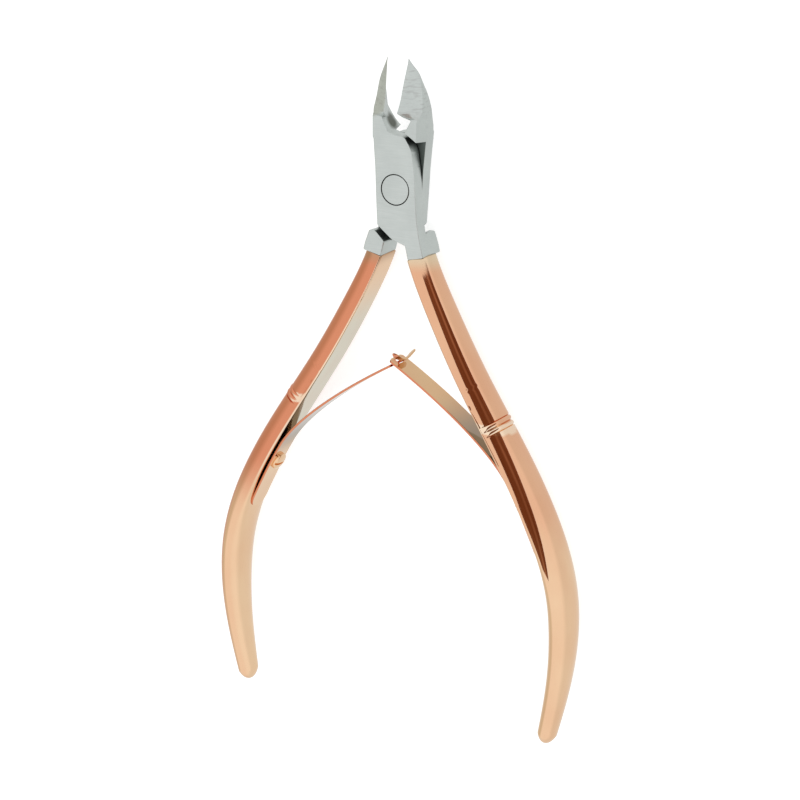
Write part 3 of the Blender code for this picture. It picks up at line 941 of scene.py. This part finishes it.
def ground_steel():
    """Satin steel, ground in fine parallel strokes across the head, with painted shade in the hollows, on
    the lap faces and in narrow gaps.
    """
    made, tree, shader = new_material("ground_steel_look")
    strokes = noise(tree, mapped(tree, (0.35, 9.0, 3.0), radians(6)), 1.0, 4.0, 0.6)
    fine = noise(tree, mapped(tree, (3.0, 24.0, 12.0), radians(6)), 1.0, 2.0)
    cloud = noise(tree, mapped(tree, (0.30, 0.22, 0.30)), 1.0, 2.0)
    ridges = noise(tree, mapped(tree, (0.40, 2.6, 0.8), radians(-4)), 1.0, 2.0)
    place = add_node(tree, "ShaderNodeSeparateXYZ")
    tree.links.new(mapped(tree, (1.0, 1.0, 1.0)), place.inputs["Vector"])
    turned_to = add_node(tree, "ShaderNodeSeparateXYZ")
    tree.links.new(add_node(tree, "ShaderNodeNewGeometry").outputs["Normal"], turned_to.inputs["Vector"])
    facing = calculate(tree, "ABSOLUTE", turned_to.outputs["Z"])
    on_jaws = spread(tree, place.outputs["Y"], float(PIVOT.y) + 10.5, float(PIVOT.y) + 12.5, 0.0, 1.0)
    tone = mix_colour(tree, spread(tree, strokes, 0.3, 0.7, 0.0, 1.0), *STEEL_STROKES)
    tone = mix_colour(tree, spread(tree, cloud, 0.35, 0.70, 0.0, 0.45), tone, STEEL_CLOUD)
    furrows = calculate(tree, "MULTIPLY", on_jaws, spread(tree, ridges, 0.36, 0.50, 0.55, 0.0))
    tone = mix_colour(tree, furrows, tone, STEEL_FURROW)
    # Painted shade in the hollow under each blade's heel.
    tone = mix_colour(tree, recess_shade(tree, facing), tone, STEEL_HOLLOW_SHADE)
    # Painted shade on the lap faces.
    tone = mix_colour(tree, lap_shade(tree, place.outputs["Z"], facing), tone, STEEL_LAP_SHADE)
    # Painted shade by ambient occlusion in corners and gaps.
    tree.links.new(crevice_shade(tree, tone, 1.6, 0.85), shader.inputs["Base Color"])
    tree.links.new(spread(tree, fine, 0.3, 0.7, 0.30, 0.44), shader.inputs["Roughness"])
    tree.links.new(bump(tree, strokes, 0.25, 0.02), shader.inputs["Normal"])
    shader.inputs["Metallic"].default_value = 1.0
    return made


def rose_gold():
    """Mirror-bright rose-gold plating, whose painted tone, with its painted reflections and highlights,
    drifts a little towards deep rose.
    """
    made, tree, shader = new_material("rose_gold_look")
    painted = add_node(tree, "ShaderNodeAttribute", attribute_name="tone")
    ripple = noise(tree, mapped(tree, (0.10, 0.06, 0.12)), 1.0, 1.0)
    tint = noise(tree, mapped(tree, (0.16, 0.08, 0.16)), 1.0, 3.0)
    haze = noise(tree, mapped(tree, (0.6, 0.3, 0.6)), 1.0, 5.0, 0.65)
    tone = mix_colour(tree, spread(tree, tint, 0.35, 0.65, 0.0, 0.16), painted.outputs["Color"], DEEP_ROSE)
    tree.links.new(tone, shader.inputs["Base Color"])
    tree.links.new(spread(tree, haze, 0.3, 0.7, 0.045, 0.085), shader.inputs["Roughness"])
    tree.links.new(bump(tree, ripple, 0.05, 0.08), shader.inputs["Normal"])
    shader.inputs["Metallic"].default_value = 1.0
    return made


def floor_material():
    """White sweep that glows a little, so that it holds almost no shadow."""
    made, tree, shader = new_material("white_sweep")
    cloud = noise(tree, mapped(tree, (0.004, 0.004, 0.004)), 1.0, 3.0)
    tone = mix_colour(tree, cloud, *SWEEP_TONES)
    glow = mix_colour(tree, cloud, *SWEEP_GLOWS)
    tree.links.new(tone, shader.inputs["Base Color"])
    tree.links.new(glow, shader.inputs["Emission Color"])
    shader.inputs["Emission Strength"].default_value = 0.70
    shader.inputs["Roughness"].default_value = 0.9
    return made


# ---------------------------------------------------------------- set


CAMERA_PLACE = Vector((229.17, 110.63, 424.79))
CAMERA_BACK = Vector((0.45483375, 0.28555817, 0.84355367))
CAMERA_UP = Vector((-0.14954336, 0.95823952, -0.24374947))
CAMERA_LENS = 149.0

# Dark cloth bowed round the right handle, from its foot up to its top. The angle of each edge from the front
# changes evenly: the near edge's all the way up, the far edge's until the cloth has its full width.
FLAG_FOOT_Y = -61.5
FLAG_FULL_Y = -33.0
FLAG_TOP_Y = -12.3
FLAG_NEAR_ANGLES = (-33.0, 6.0)
FLAG_FAR_ANGLES = (-12.0, 62.0)
FLAG_RADIUS = 26.0
FLAG_FOLD = 0.52
FLAG_STEPS_ACROSS = 32
FLAG_STEPS_UP = 48

FLOOR_HALF = 3.0
FLOOR_DROP = 0.0004


def make_camera():
    """A long lens that looks from the front, a little from the right and from above."""
    camera = bpy.data.objects.new("camera", bpy.data.cameras.new("camera"))
    bpy.context.scene.collection.objects.link(camera)
    right = CAMERA_UP.cross(CAMERA_BACK)
    turn = Matrix((right, CAMERA_UP, CAMERA_BACK)).transposed().to_4x4()
    camera.matrix_world = Matrix.Translation((CAMERA_PLACE + PIVOT) * MM) @ turn
    camera.data.lens = CAMERA_LENS
    camera.data.sensor_width = 36.0
    camera.data.clip_start = 0.01
    camera.data.clip_end = 20.0
    bpy.context.scene.camera = camera


def make_world():
    """A white tent, a little dimmer from below and from the left."""
    world = bpy.data.worlds.new("tent")
    world.use_nodes = True
    bpy.context.scene.world = world
    tree = world.node_tree
    shader = tree.nodes["Background"]
    place = add_node(tree, "ShaderNodeTexCoord")
    split = add_node(tree, "ShaderNodeSeparateXYZ")
    tree.links.new(place.outputs["Generated"], split.inputs["Vector"])
    height = spread(tree, split.outputs["Z"], -0.15, 0.25, 0.0, 1.0)
    colour = mix_colour(tree, height, *TENT_TONES)
    aside = spread(tree, split.outputs["X"], -0.92, -0.70, 1.0, 0.0)
    colour = mix_colour(tree, aside, colour, TENT_LEFT)
    tree.links.new(colour, shader.inputs["Color"])
    shader.inputs["Strength"].default_value = 1.0


def flag_material():
    """Dark brown cloth that lights itself evenly, with a paler fold near its middle."""
    made = bpy.data.materials.new("flag_cloth")
    made.use_nodes = True
    tree = made.node_tree
    tree.nodes.remove(tree.nodes["Principled BSDF"])
    glow = add_node(tree, "ShaderNodeEmission")
    across = add_node(tree, "ShaderNodeAttribute", attribute_name="across").outputs["Fac"]
    off_fold = calculate(tree, "ABSOLUTE", calculate(tree, "SUBTRACT", across, FLAG_FOLD))
    fold = spread(tree, off_fold, 0.04, 0.16, 1.0, 0.0)
    weave = noise(tree, mapped(tree, (0.05, 0.02, 0.05), radians(-30)), 1.0, 3.0)
    fold = calculate(tree, "MULTIPLY", fold, spread(tree, weave, 0.35, 0.65, 0.3, 1.0))
    tone = mix_colour(tree, spread(tree, weave, 0.35, 0.65, 0.0, 1.0), *CLOTH_TONES)
    tree.links.new(mix_colour(tree, fold, tone, CLOTH_FOLD), glow.inputs["Color"])
    tree.links.new(glow.outputs["Emission"], tree.nodes["Material Output"].inputs["Surface"])
    return made


def make_flag():
    """The dark cloth round the right handle, seen only in reflections."""
    bm = bmesh.new()
    layer = bm.verts.layers.float.new("across")
    grid = []
    for y in np.linspace(FLAG_FOOT_Y, FLAG_TOP_Y, FLAG_STEPS_UP + 1):
        centre = PIVOT + Vector((handle_at(y)[0], y, 0.0))
        normal = handle_normal(y)
        first = np.interp(y, (FLAG_FOOT_Y, FLAG_TOP_Y), FLAG_NEAR_ANGLES)
        last = np.interp(y, (FLAG_FOOT_Y, FLAG_FULL_Y), FLAG_FAR_ANGLES)
        line = []
        for k in range(FLAG_STEPS_ACROSS + 1):
            turn = radians(first + (last - first) * k / FLAG_STEPS_ACROSS)
            point = centre + FLAG_RADIUS * (normal * sin(turn) + Vector((0.0, 0.0, cos(turn))))
            vertex = bm.verts.new(point * MM)
            vertex[layer] = k / FLAG_STEPS_ACROSS
            line.append(vertex)
        grid.append(line)
    for low, high in zip(grid, grid[1:]):
        for k in range(FLAG_STEPS_ACROSS):
            bm.faces.new((low[k], low[k + 1], high[k + 1], high[k]))
    flag = linked_object("flag", bm)
    flag.data.materials.append(flag_material())
    flag.visible_camera = False
    flag.visible_shadow = False
    flag.visible_diffuse = False


def make_floor():
    """The white sweep that the tool lies on."""
    bm = bmesh.new()
    bm.faces.new([bm.verts.new((FLOOR_HALF * a, FLOOR_HALF * b, 0.0)) for a, b in SQUARE])
    floor = linked_object("floor", bm)
    floor.data.materials.append(floor_material())
    floor.location.z = -FLOOR_DROP
    floor.visible_glossy = False


# ---------------------------------------------------------------- build


def build_levers(steel, plating):
    """Head and handle of each lever."""
    for name, side, lap in (("front_lever", 1, 1), ("rear_lever", -1, -1)):
        head = finish_piece(head_object(f"{name}_head", side, lap), steel, flat_faces=True)
        handle = raw_object(f"{name}_handle", handle_mesh(), side)
        paint_handle(handle, side)
        finish_piece(handle, plating, sharp=60.0)
        for piece in (head, handle):
            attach(piece, name)
            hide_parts(name)


def build_springs(plating):
    """Both leaves, each shaped to curve away from where it leaves its handle, and their screws."""
    for leaf, side, lever in ((slotted_leaf(), 1, "front"), (hooked_leaf(), -1, "rear")):
        paint_leaf(leaf)
        finish_piece(leaf, plating, flat_faces=True)
        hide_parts(f"{lever}_spring_leaf")
        x, thickness, _ = handle_at(LEAF_LEAVES_Y)
        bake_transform(leaf)
        screw = screw_object(f"{lever}_screw_visual", side)
        paint_plain(screw, CHAMPAGNE)
        finish_piece(screw, plating)
        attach(screw, f"{lever}_lever")
        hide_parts(f"{lever}_spring_screw")


def build_rivet(steel):
    """The rivet, fixed in the front lever."""
    rivet = finish_piece(rivet_object(), steel, flat_faces=True)
    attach(rivet, "front_lever")
    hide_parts("pivot_rivet")


steel = ground_steel()
plating = rose_gold()
build_levers(steel, plating)
build_rivet(steel)
build_springs(plating)
make_floor()
make_camera()
make_world()
make_flag()
bpy.context.scene.view_settings.view_transform = "Standard"
